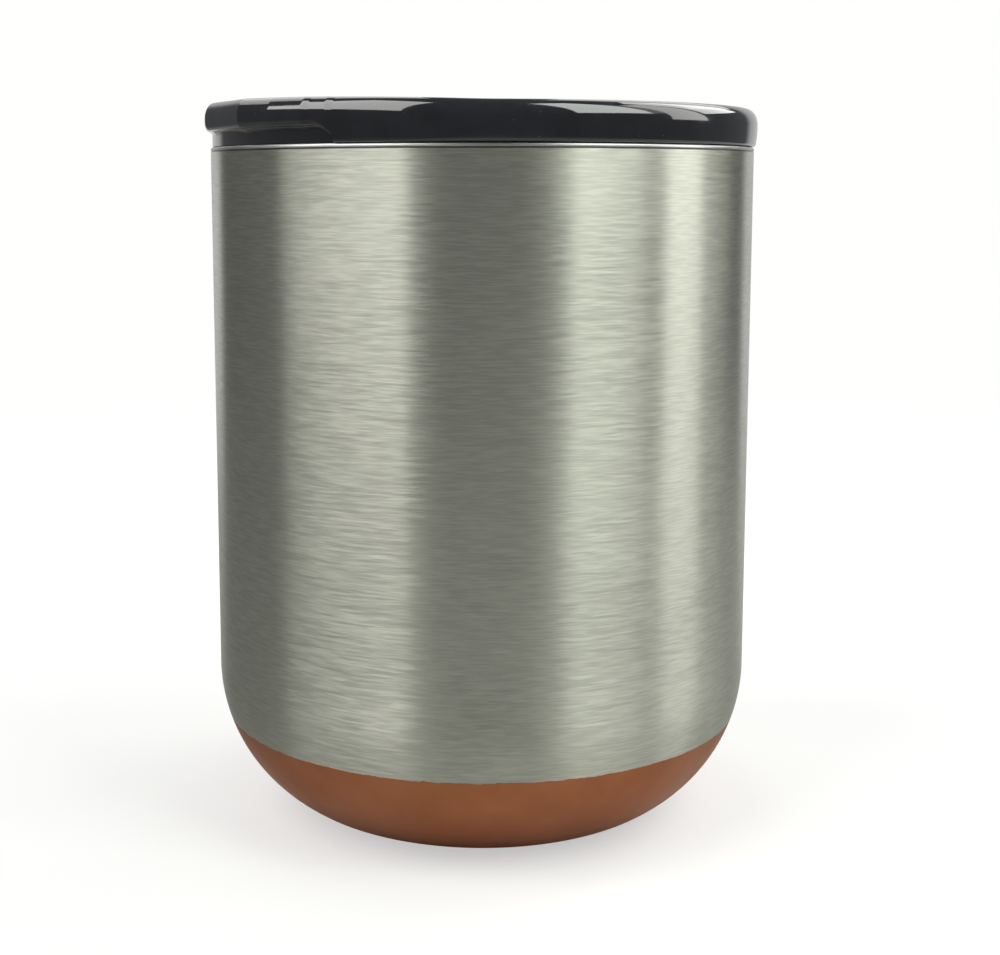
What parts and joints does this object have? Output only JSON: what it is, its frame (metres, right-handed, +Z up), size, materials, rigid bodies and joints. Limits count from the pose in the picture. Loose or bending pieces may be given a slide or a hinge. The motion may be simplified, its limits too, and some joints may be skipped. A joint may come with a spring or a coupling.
{
  "type": "vacuum insulated tumbler",
  "caption": "Double-wall drinking tumbler in brushed steel with a rounded copper-plated base and a dark push-in lid that has a pull tab and a sliding closure.",
  "frame": {"origin": "centre of the foot ring, on the surface the tumbler stands on", "axes": "+Z up along the axis of the cup, -X through the middle of the pull tab, +X through the drinking hole"},
  "size_m": [0.0894, 0.089, 0.1159],
  "materials": {
    "brushed_wall": "brushed round the axis",
    "copper_plating": "satin copper plating on steel",
    "satin_steel": "satin",
    "solder_glass": "dark, fused",
    "sintered_getter": "sintered, matte",
    "copper_foil": "bright",
    "lid_plastic": "glossy charcoal",
    "silicone": "matte silicone",
    "retainer_plastic": "moulded, matte"
  },
  "bodies": {
    "cup": {"outer_shell": "brushed_wall", "copper_base": "copper_plating", "base_cover": "satin_steel", "vacuum_seal_bead": "solder_glass", "getter_pellet": "sintered_getter", "getter_clip": "satin_steel", "radiation_foil": "copper_foil", "inner_cup": "satin_steel"},
    "lid": {"lid_body": "lid_plastic", "lid_gasket": "silicone"},
    "closure": {"slider": "lid_plastic", "slider_seal": "silicone", "slider_retainer": "retainer_plastic"}
  },
  "joints": [
    {"name": "lid_lift", "type": "slide", "parent": "cup", "child": "lid", "axis": [0, 0, 1], "range_m": [0, 0.06]},
    {"name": "closure_slide", "type": "slide", "parent": "lid", "child": "closure", "axis": [-1, 0, 0], "range_m": [0, 0.015]}
  ]
}
